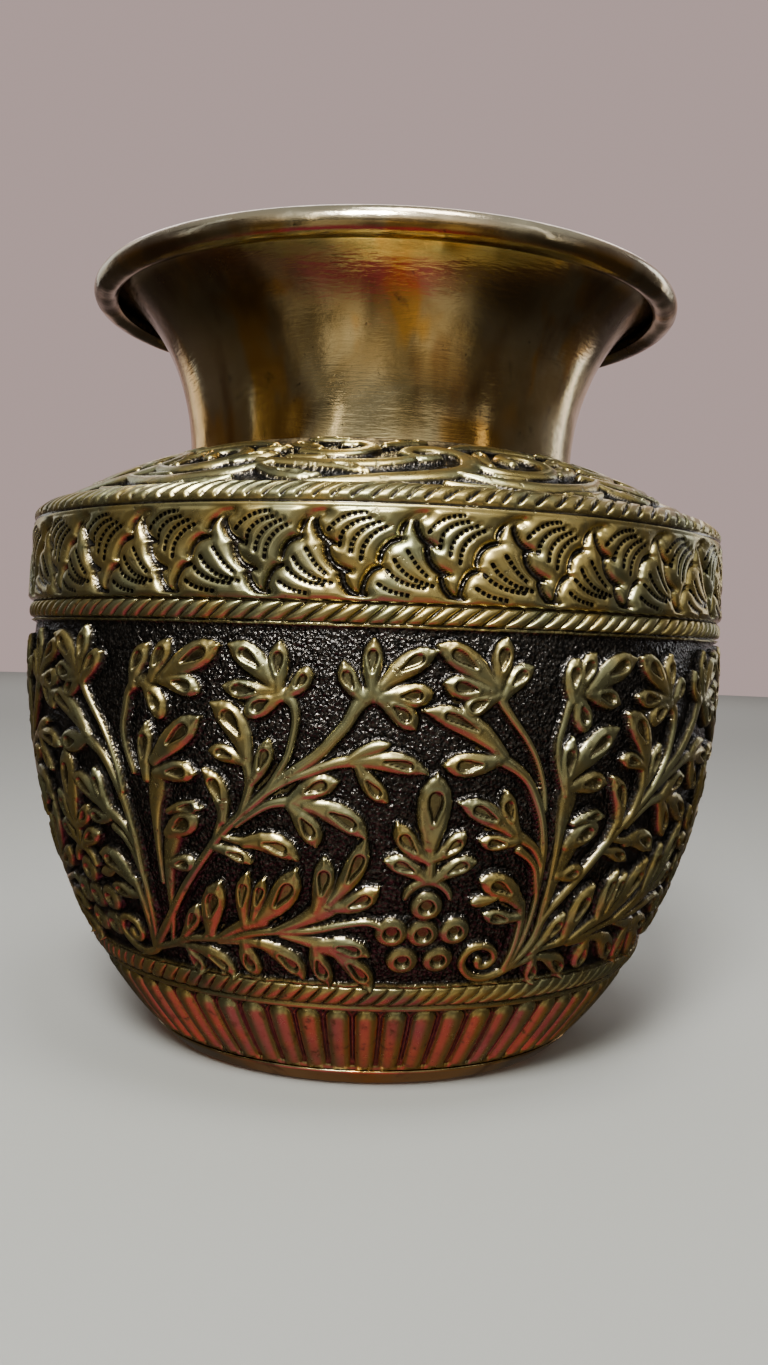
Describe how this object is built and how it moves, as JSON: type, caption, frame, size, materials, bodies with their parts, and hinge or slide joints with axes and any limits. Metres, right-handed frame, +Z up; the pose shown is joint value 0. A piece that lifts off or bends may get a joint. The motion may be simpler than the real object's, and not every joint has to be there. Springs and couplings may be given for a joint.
{
  "type": "kalash pot",
  "caption": "Round-bellied brass kalash with a chased vine belly, a leaf frieze, a scrolled shoulder and a plain flared neck with a rolled lip.",
  "frame": {"origin": "centre of the foot, on the surface that the pot stands on", "axes": "+Z up along the pot's axis; the pot is round, so X and Y are set only by the pattern"},
  "size_m": [0.1598, 0.1598, 0.1711],
  "materials": {
    "chased_brass": "oxidised in the recesses, rubbed bright on the relief",
    "smooth_brass": "polished, with brown and orange tarnish",
    "wire_brass": "drawn",
    "braze": "dull, dark and grainy"
  },
  "bodies": {
    "root": {"belly_bowl": "chased_brass", "shoulder_shell": "chased_brass", "neck_collar": "smooth_brass", "rim_wire": "wire_brass", "foot_ring": "smooth_brass", "belly_braze": "braze", "neck_braze": "braze", "foot_braze": "braze"}
  },
  "joints": []
}
